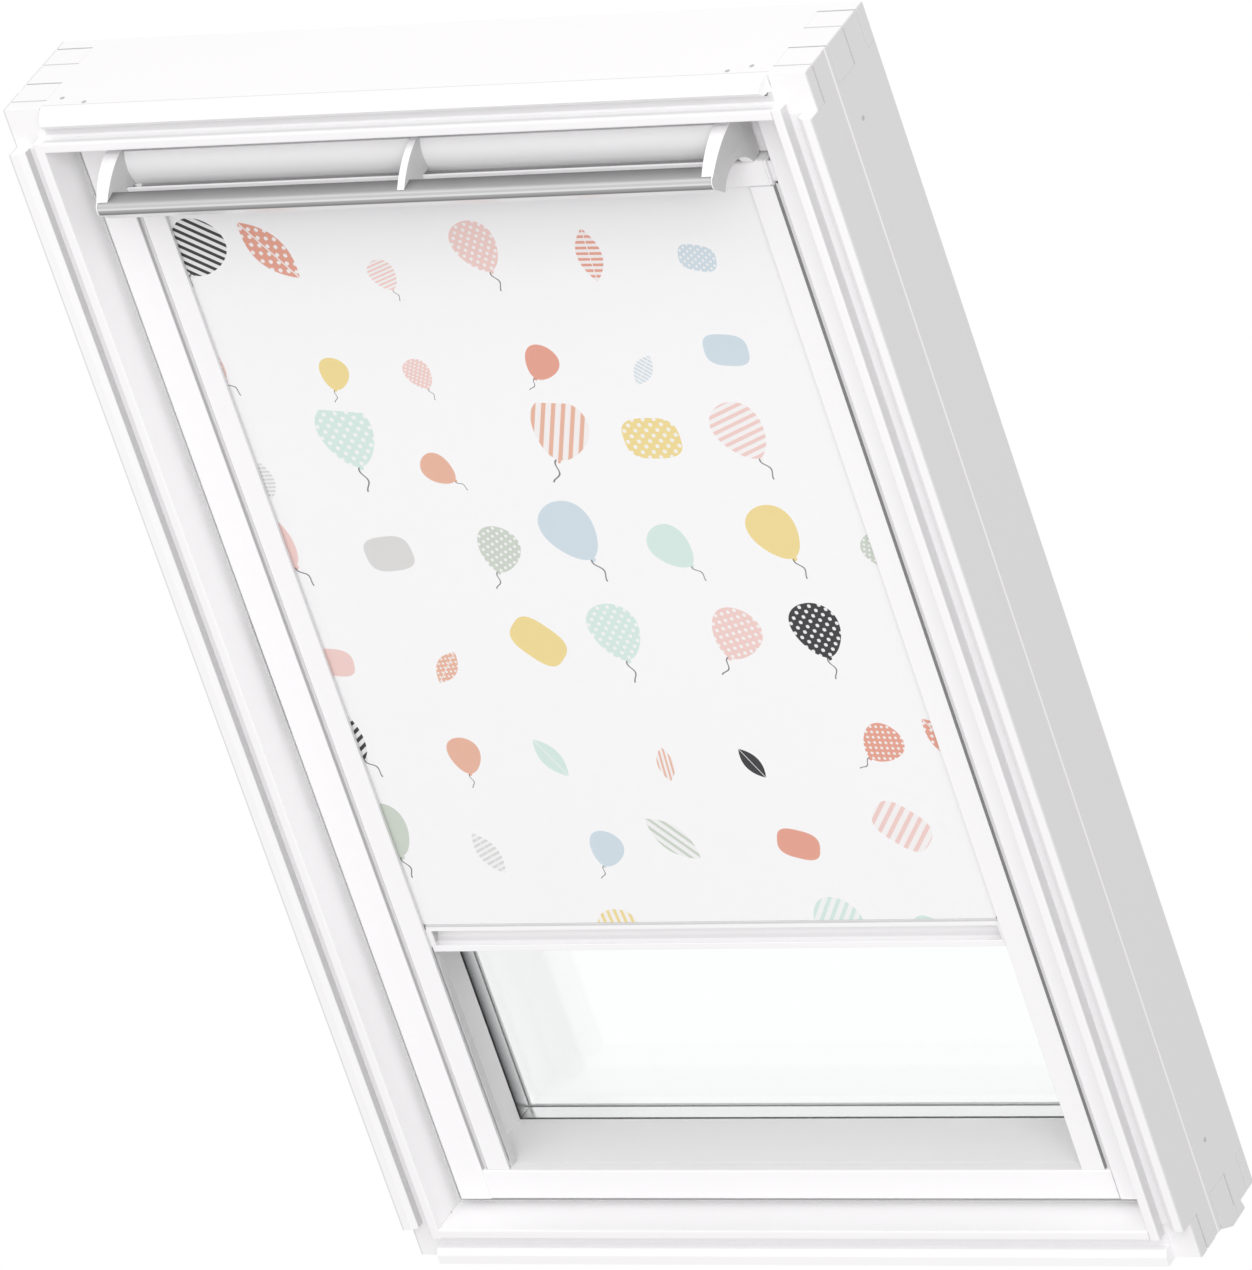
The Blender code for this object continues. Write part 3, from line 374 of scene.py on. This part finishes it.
BAR = brushed("bar_anodised", (0.90, 0.90, 0.905), 0.34, (6.0, 900.0, 900.0), bar_painted_light)
TUBE = brushed("tube_metal", grey(0.62), 0.36, (6.0, 700.0, 700.0))
STEEL = brushed("zinc_plate", (0.62, 0.62, 0.63), 0.38, (300.0, 300.0, 30.0))


def spacer_bar():
    """Metal spacer: pale along the sill and the head; along the sides a painted shade, darker towards the room."""
    s = Shader("spacer_metal", grey(0.9), 0.28, 1.0)
    where = s.place()
    x, y, _ = s.split(where)
    lo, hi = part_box("glass_spacer")
    side = s.step(s.size(x), hi.x - 0.0095, 0.0003)
    # Painted shade along the sides: dark at the room side, lighter towards the back.
    along = s.mix(s.remap(y, lo.y, hi.y, 0.0, 1.0), (0.05, 0.05, 0.052), (0.62, 0.62, 0.63))
    grain = s.noise(where, 800.0)
    s.to("Base Color", s.mix(side, grey(0.96), along))
    s.to("Roughness", s.spread(grain, 0.24, 0.34))
    s.bump(grain, 0.00002)
    return s.mat


SPACER = spacer_bar()


# Rubber and glass.

def rubber(name, colour, rough):
    s = Shader(name, colour, rough)
    grain = s.noise(s.place(), 700.0)
    s.to("Base Color", s.mix(grain, shade(colour, 0.85), shade(colour, 1.2)))
    s.bump(grain, 0.00005)
    return s.mat


SEAL = rubber("seal_rubber_grey", grey(0.70), 0.7)
PALE_SEAL = rubber("seal_rubber_pale", grey(0.80), 0.6)
# Grey of the hem strip: a painted shadow line along the top of the bottom bar.
HEM_SHADOW = rubber("hem_shadow_grey", (0.64, 0.64, 0.645), 0.6)
PLUG_GREY = rubber("screw_plug", (0.50, 0.50, 0.505), 0.55)


def clear_glass():
    """Float glass: clear, a faint green, with a trace of waviness."""
    s = Shader("float_glass", (0.992, 0.998, 0.997), 0.0)
    s.bsdf.inputs["Transmission Weight"].default_value = 1.0
    s.bsdf.inputs["IOR"].default_value = 1.5
    s.bump(s.noise(s.place(), 3.0, 1.0), 0.00002, 0.3)
    return s.mat


PANE = clear_glass()


# Printed cloth.

PRINT_PITCH, PRINT_SCATTER, PRINT_SHIFT = 0.098, 0.38, 0.4
THREAD = 0.0006
PRINT_TONES = [(0.78, 0.36, 0.27), (0.62, 0.72, 0.78), (0.86, 0.70, 0.30), (0.03, 0.03, 0.033), (0.60, 0.66, 0.58),
               (0.87, 0.62, 0.58), (0.66, 0.82, 0.76), (0.80, 0.46, 0.34), (0.70, 0.70, 0.69)]


def squared(s, value, middle, reach):
    """0 at the middle, 1 at the reach, rising as a square."""
    moved = s.math('DIVIDE', s.math('SUBTRACT', value, middle), reach)
    return s.times(moved, moved)


def between(s, value, low, high):
    return s.times(s.step(value, low, 0.001), s.below(value, high, 0.001))


def balloon_shape(s, x, y):
    """A round that narrows downwards, with its knot; and the wavy string below it."""
    width = s.math('MULTIPLY_ADD', s.remap(y, -0.030, 0.034, 0.0, 1.0), 0.013, 0.0165)
    across = s.math('DIVIDE', x, width)
    body = s.math('ADD', s.times(across, across), squared(s, y, 0.008, 0.0285))
    knot = s.math('ADD', squared(s, x, 0.0, 0.0028), squared(s, y, -0.0215, 0.0022))
    wave = s.times(s.math('SINE', s.times(y, 330.0)), 0.0022)
    string = s.times(s.below(s.size(s.math('SUBTRACT', x, wave)), 0.0007, 0.0002),
                     s.step(y, -0.043, 0.0004), s.below(y, -0.021, 0.0004))
    return s.math('MAXIMUM', s.below(body, 1.0, 0.02), s.below(knot, 1.0, 0.1)), string


def leaf_shape(s, x, y):
    """Two arcs that meet in points; and the pale rib between them."""
    body = s.math('ADD', s.math('DIVIDE', s.size(x), 0.0155), squared(s, y, 0.0, 0.033))
    return s.below(body, 1.0, 0.02), s.below(s.size(x), 0.0006, 0.0002)


def pebble_shape(s, x, y):
    """A rounded block."""
    body = s.math('ADD', s.math('POWER', squared(s, x, 0.0, 0.026), 1.5),
                  s.math('POWER', squared(s, y, 0.0, 0.019), 1.5))
    return s.below(body, 1.0, 0.02)


def printed_cloth():
    """White blind cloth, plain weave, printed with balloons, leaves and pebbles in pastel tones."""
    s = Shader("printed_cloth", grey(0.93), 0.85)
    s.bsdf.inputs["Sheen Weight"].default_value = 0.15
    uv = s.node("ShaderNodeUVMap", uv_map="cloth").outputs["UV"]

    # One motif in each cell, turned, sized, shaped and coloured by the cell's own three numbers.
    scaled = s.vector('SCALE', uv, 1.0 / PRINT_PITCH)
    cell = s.node("ShaderNodeTexVoronoi", voronoi_dimensions='2D', feature='F1')
    s.plug(scaled, cell.inputs["Vector"])
    cell.inputs["Scale"].default_value = 1.0
    cell.inputs["Randomness"].default_value = PRINT_SCATTER
    dice = s.node("ShaderNodeSeparateColor")
    s.plug(cell.outputs["Color"], dice.inputs[0])
    r1, r2, r3 = dice.outputs
    turn = s.node("ShaderNodeVectorRotate", rotation_type='Z_AXIS')
    s.plug(s.vector('SCALE', s.vector('SUBTRACT', scaled, cell.outputs["Position"]), PRINT_PITCH),
           turn.inputs["Vector"])
    s.plug(s.times(s.math('SUBTRACT', r1, 0.5), 1.7), turn.inputs["Angle"])
    x, y, _ = s.split(s.vector('DIVIDE', turn.outputs[0], s.spread(r2, 0.50, 1.12)))

    is_balloon, is_leaf, is_pebble = s.below(r3, 0.52, 0.001), between(s, r3, 0.52, 0.78), s.step(r3, 0.78, 0.001)
    balloon, string = balloon_shape(s, x, y)
    leaf, rib = leaf_shape(s, x, y)
    shape = s.math('ADD', s.times(is_balloon, balloon),
                   s.math('ADD', s.times(is_leaf, leaf), s.times(is_pebble, pebble_shape(s, x, y))))

    # Fillings: plain, stripes across, dots, or stripes along, with holes in the ink.
    pick = s.math('FRACT', s.math('MULTIPLY_ADD', r1, 7.7, r3))
    bars = s.step(s.math('SINE', s.times(y, 900.0)), 0.1, 0.12)
    slats = s.step(s.math('SINE', s.times(x, 760.0)), 0.2, 0.12)
    dots = s.step(s.times(s.math('SINE', s.times(x, 620.0)), s.math('SINE', s.times(y, 620.0))), 0.45, 0.08)
    holes = s.math('ADD', s.times(between(s, pick, 0.35, 0.60), s.flip(bars)),
                   s.math('ADD', s.times(between(s, pick, 0.60, 0.82), dots),
                          s.times(s.step(pick, 0.82, 0.001), s.flip(slats))))
    holes = s.math('MAXIMUM', holes, s.times(is_leaf, rib))
    tones = [(i / len(PRINT_TONES), tone) for i, tone in enumerate(PRINT_TONES)]
    colour = s.ramp(s.math('FRACT', s.math('MULTIPLY_ADD', r2, 5.3, r1)), tones, 'CONSTANT')
    ink = s.mix(s.times(holes, 0.9), colour, grey(0.92))

    cloth = s.mix(s.noise(uv, 9.0, 2.0), (0.945, 0.945, 0.948), (0.955, 0.955, 0.958))
    printed = s.mix(shape, cloth, ink)
    printed = s.mix(s.times(is_balloon, string, 0.85), printed, (0.05, 0.05, 0.055))

    # Plain weave, about two threads to a millimetre.
    u, v, _ = s.split(uv)
    warp, weft = [s.math('SINE', s.times(along, 2 * math.pi / THREAD)) for along in (u, v)]
    weave = s.times(warp, weft)
    s.to("Base Color", s.mix(s.spread(weave, 0.0, 0.035), printed, (0.55, 0.55, 0.56)))
    s.to("Roughness", s.spread(s.noise(uv, 400.0), 0.78, 0.92))
    s.bump(weave, 0.00006, 0.6)
    return s.mat


CLOTH = printed_cloth()


# Materials of the CAD nodes.

def dress(material, *names):
    for name in names:
        mesh = nodes[name].data
        mesh.materials.clear()
        mesh.materials.append(material)


dress(FRAME, "frame_side_left", "frame_side_right")
dress(CROSS, "frame_head", "frame_sill")
dress(SASH, "sash_stile_left", "sash_stile_right")
dress(SASH_RAIL, "sash_top_rail", "sash_bottom_rail")
dress(PLASTIC, "channel_plug_left", "channel_plug_right", "bar_glide_left", "bar_glide_right")
dress(BRACKET, "bracket_left", "bracket_middle", "bracket_right")
dress(FLAP, "flap_cover")
dress(CHANNEL, "channel_left", "channel_right")
dress(COAT, "blind_casing", "casing_end_left", "casing_end_right", "bottom_bar")
dress(COVER, "cover_left", "cover_right", "cover_top", "cover_bottom")
dress(BAR, "control_bar")
dress(TUBE, "roller_tube")
dress(STEEL, "frame_hinge_left", "frame_hinge_right", "sash_hinge_left", "sash_hinge_right", "flap_hinge_left",
      "flap_hinge_right", "lock_case", "lock_latch", "striker_plate")
dress(PALE_SEAL, "reveal_seal")
dress(SEAL, "glazing_gasket")
dress(SPACER, "glass_spacer")
dress(PANE, "glass_inner", "glass_outer")


# Mesh helpers.

def mesh_piece(name, build, material, body, smooth=True):
    """A new object from a build function, with its material, on its body."""
    mesh = bpy.data.meshes.new(name)
    bm = bmesh.new()
    build(bm)
    bmesh.ops.recalc_face_normals(bm, faces=bm.faces)
    bm.to_mesh(mesh)
    bm.free()
    if smooth:
        mesh.shade_smooth()
        mesh.set_sharp_from_angle(angle=math.radians(35))
    piece = bpy.data.objects.new(name, mesh)
    scene.collection.objects.link(piece)
    mesh.materials.append(material)
    if body:
        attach(piece, body)
    return piece


def prism(bm, first, last):
    """A solid between two like rings of points, closed at both ends."""
    first, last = [[bm.verts.new(point) for point in ring] for ring in (first, last)]
    for i in range(len(first)):
        j = (i + 1) % len(first)
        bm.faces.new((first[i], first[j], last[j], last[i]))
    bm.faces.new(first)
    bm.faces.new(tuple(reversed(last)))


def extrude_x(bm, outline, x0, x1):
    """A prism along x from (y, z) points."""
    prism(bm, [(x0, y, z) for y, z in outline], [(x1, y, z) for y, z in outline])


# Blind cloth.

cloth_lo, cloth_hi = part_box("blind_fabric")
CLOTH_COLUMNS = 24


def build_cloth(bm):
    """A thin closed sheet: columns across, and one row from the bar to the roller."""
    uv = bm.loops.layers.uv.new("cloth")
    rows = []
    for y in (cloth_lo.y, cloth_hi.y):
        for z in (cloth_lo.z, cloth_hi.z):
            rows.append([bm.verts.new((cloth_lo.x + (cloth_hi.x - cloth_lo.x) * i / CLOTH_COLUMNS, y, z))
                         for i in range(CLOTH_COLUMNS + 1)])
    front_low, front_top, back_low, back_top = rows
    for i in range(CLOTH_COLUMNS):
        bm.faces.new((front_low[i], front_low[i + 1], front_top[i + 1], front_top[i]))
        bm.faces.new((back_low[i + 1], back_low[i], back_top[i], back_top[i + 1]))
        bm.faces.new((front_low[i + 1], front_low[i], back_low[i], back_low[i + 1]))
        bm.faces.new((front_top[i], front_top[i + 1], back_top[i + 1], back_top[i]))
    for i in (0, CLOTH_COLUMNS):
        bm.faces.new((front_low[i], front_top[i], back_top[i], back_low[i]))
    for face in bm.faces:
        for loop in face.loops:
            loop[uv].uv = (loop.vert.co.x + PRINT_SHIFT, loop.vert.co.z)


cloth = mesh_piece("blind_cloth", build_cloth, CLOTH, None, smooth=False)
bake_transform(cloth)
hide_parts("blind_fabric")


# Bottom bar of the blind: lip, scooped grip and a lower lip, one section all along, as (depth, height below the top).

bar_lo, bar_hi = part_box("bottom_bar")
bar_reach = CHANNEL_IN - 0.0008
bar_y, bar_z = bar_lo.y, bar_hi.z - 0.0020
TROUGH = [(0.0129, 0.0047), (0.0129, 0.0140), (0.0124, 0.0157), (0.01175, 0.0174), (0.0104, 0.0190), (0.0086, 0.0202),
          (0.0064, 0.0209), (0.0043, 0.0211), (0.0022, 0.0208), (0.0012, 0.0198)]
END_WALL = 0.0012


def bar_points(section):
    return [(bar_y + depth, bar_z - below) for depth, below in section]


def build_bar(bm):
    """An upper lip, a trough to put fingers in, and a lower lip, with thin walls at the ends."""
    corner, deep, foot = 0.0004, bar_hi.y - bar_lo.y, bar_z - bar_lo.z
    lip = [(corner, 0.0), (0.0, corner), (0.0, 0.0044), (0.0004, 0.0047)]
    low_lip = [(0.0004, 0.0198), (0.0, 0.0201), (0.0, foot - corner), (corner, foot), (deep - corner, foot),
               (deep, foot - corner), (deep, corner), (deep - corner, 0.0)]
    extrude_x(bm, bar_points(lip + TROUGH + low_lip), END_WALL - bar_reach, bar_reach - END_WALL)
    for side in (-1, 1):
        edge = sorted((side * bar_reach, side * (bar_reach - END_WALL)))
        extrude_x(bm, bar_points(lip + low_lip), *edge)


def trough_marks(s, where):
    """The floor and the end walls of the trough lie in the shade of the upper lip."""
    x, y, z = s.split(where)
    inner = s.step(y, bar_y + 0.0008, 0.0002)
    roomy = s.below(y, bar_hi.y - 0.0008, 0.0002)
    hidden = s.times(inner, roomy, s.near(z, bar_z - 0.0125, 0.0077))
    low = s.below(z, bar_z - 0.0180, 0.0014)
    ends = s.step(s.size(x), bar_reach - END_WALL - 0.0001, 0.00005)
    return [(s.times(hidden, low), 0.86), (s.times(hidden, ends), 0.55)]


TROUGH_COAT = painted("bar_coat", PAINT, 0.40, COAT_GRAIN, FINE_DEPTH, trough_marks)
bar = mesh_piece("blind_bottom_bar", build_bar, TROUGH_COAT, "blind")
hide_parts("bottom_bar")


def build_hem(bm):
    """Narrow strip that grips the cloth along the top of the bar; its grey stands in for the shadow line there."""
    low, high, corner = bar_z - 0.0003, bar_hi.z + 0.0001, 0.0004
    near_y, far_y = cloth_lo.y - 0.0007, cloth_hi.y + 0.0007
    outline = [(near_y, low), (near_y, high - corner), (near_y + corner, high), (far_y - corner, high),
               (far_y, high - corner), (far_y, low)]
    extrude_x(bm, outline, -bar_reach + 0.001, bar_reach - 0.001)


mesh_piece("blind_hem_strip", build_hem, HEM_SHADOW, "blind")


# Trim of the frame.

FINGER = [(0.0568, 0.0030), (0.0568, -0.0010), (0.0739, -0.0100), (0.0748, -0.0105), (0.1006, -0.0100),
          (0.1014, -0.0093), (0.0985, 0.0000), (0.0985, 0.0030)]


def build_fingers(bm):
    """The fingers of the two lower corners that stand below the sill, from (depth, height) points."""
    for side in (-1, 1):
        outer, inner = side * (HALF_W + 0.00012), side * (HALF_W - MEMBER_W + 0.0005)
        extrude_x(bm, [(FRONT + depth, z) for depth, z in FINGER], min(inner, outer), max(inner, outer))


mesh_piece("frame_finger_ends", build_fingers, FRAME, "frame", smooth=False)

LIP_RUNS = ((0.046, 0.530), (0.648, 1.132))
LIP_ROOT_X, LIP_TIP_X = HALF_W - MEMBER_W + 0.0002, 0.3467


def build_lips(bm):
    """Pale lip on each frame side that closes the gap beside the sash, left out at the hinges."""
    section = [(LIP_ROOT_X, 0.0495), (LIP_TIP_X, 0.0503), (LIP_TIP_X, 0.0509), (LIP_ROOT_X, 0.0515)]
    for side in (-1, 1):
        for run in LIP_RUNS:
            prism(bm, *[[(side * x, FRONT + depth, z) for x, depth in section] for z in run])


mesh_piece("frame_gap_lips", build_lips, PALE_SEAL, "frame", smooth=False)

PLUGS = [((HALF_W, 0.073, 1.099), 'x'), ((HALF_W, 0.0756, 0.079), 'x'),
         ((-0.339, 0.030, FRAME_H), 'z'), ((-0.313, 0.022, FRAME_H), 'z'),
         ((0.332, 0.029, FRAME_H), 'z'), ((0.312, 0.0225, FRAME_H), 'z')]
PLUG_RINGS = [(0.0022, -0.0004), (0.0022, 0.00018), (0.0019, 0.00028), (0.0013, 0.00022), (0.0007, 0.00006)]
PLUG_SIDES = 16


def build_plugs(bm):
    """Screw plugs at the corners: low dished discs that stand a quarter of a millimetre proud."""
    for (x, depth, z), axis in PLUGS:
        spot = Vector((x, FRONT + depth, z))
        loops = []
        for radius, height in PLUG_RINGS:
            loop = []
            for i in range(PLUG_SIDES):
                angle = 2 * math.pi * i / PLUG_SIDES
                u, v = radius * math.cos(angle), radius * math.sin(angle)
                loop.append(bm.verts.new(spot + Vector((height, u, v) if axis == 'x' else (u, v, height))))
            loops.append(loop)
        for lower, upper in zip(loops, loops[1:]):
            for i in range(PLUG_SIDES):
                j = (i + 1) % PLUG_SIDES
                bm.faces.new((lower[i], lower[j], upper[j], upper[i]))
        bm.faces.new(loops[0])
        bm.faces.new(loops[-1])


mesh_piece("frame_screw_plugs", build_plugs, PLUG_GREY, "frame")


# Camera, solved from the frame's straight edges: its axes, and where it sees the corner that the sums start from.

SENSOR, FOCAL_PX, PHOTO_H = 36.0, 13776.6, 1270.0
START_CORNER = Vector((-0.390, -0.04925, 0.0))
ahead = Vector((-0.5102, 0.7266, -0.4602)).normalized()
right = Vector((0.8598, 0.4184, -0.2927))
right = (right - ahead * right.dot(ahead)).normalized()
up = right.cross(ahead)
seen_at = Vector((-0.17966114, 0.54586502, 12.13742146))
centre = -(right * seen_at.x - up * seen_at.y + ahead * seen_at.z)
camera_data = bpy.data.cameras.new("camera")
camera_data.sensor_width = SENSOR
camera_data.lens = FOCAL_PX * SENSOR / PHOTO_H
camera_data.clip_end = 100.0
camera = bpy.data.objects.new("camera", camera_data)
scene.collection.objects.link(camera)
place = Matrix((right, up, -ahead)).transposed().to_4x4()
place.translation = centre + START_CORNER
camera.matrix_world = place
scene.camera = camera


# Light and backdrop: white behind the window and in reflections, a softer fill for everything else.

world = bpy.data.worlds.new("studio")
scene.world = world
world.use_nodes = True
tree = world.node_tree
tree.nodes.clear()


def background(colour, strength):
    made = tree.nodes.new("ShaderNodeBackground")
    made.inputs["Color"].default_value = (*colour, 1.0)
    made.inputs["Strength"].default_value = strength
    return made.outputs[0]


rays = tree.nodes.new("ShaderNodeLightPath")
seen = rays.outputs["Is Camera Ray"]
for kind in ("Is Glossy Ray", "Is Transmission Ray"):
    either = tree.nodes.new("ShaderNodeMath")
    either.operation = 'MAXIMUM'
    tree.links.new(seen, either.inputs[0])
    tree.links.new(rays.outputs[kind], either.inputs[1])
    seen = either.outputs[0]
pick = tree.nodes.new("ShaderNodeMixShader")
output = tree.nodes.new("ShaderNodeOutputWorld")
tree.links.new(seen, pick.inputs[0])
tree.links.new(background((1.0, 0.984, 0.996), 0.68), pick.inputs[1])
tree.links.new(background((1.0, 1.0, 1.0), 1.0), pick.inputs[2])
tree.links.new(pick.outputs[0], output.inputs["Surface"])


def lamp(name, where, size, power):
    """A round soft light that points at the middle of the window."""
    light = bpy.data.lights.new(name, 'AREA')
    light.shape = 'DISK'
    light.size = size
    light.energy = power
    holder = bpy.data.objects.new(name, light)
    scene.collection.objects.link(holder)
    holder.location = where
    holder.rotation_euler = (Vector((0.0, 0.0, 0.6)) - Vector(where)).to_track_quat('-Z', 'Y').to_euler()


lamp("key", (5.3, -7.6, 6.6), 8.0, 500.0)
lamp("top", (0.0, -3.4, 8.9), 6.0, 156.0)

FLOOR_RADIUS, FLOOR_Z = 1.1, -1.3
floor_material = Shader("floor_pale", grey(0.9), 0.8)
floor_material.bump(floor_material.noise(floor_material.place(), 4.0), 0.0005)
floor_mesh = bpy.data.meshes.new("floor")
bm = bmesh.new()
bmesh.ops.create_circle(bm, cap_ends=True, segments=64, radius=FLOOR_RADIUS)
bm.to_mesh(floor_mesh)
bm.free()
floor_mesh.materials.append(floor_material.mat)
floor = bpy.data.objects.new("floor", floor_mesh)
floor.location = (0.0, 0.0, FLOOR_Z)
scene.collection.objects.link(floor)

scene.view_settings.view_transform = 'Standard'
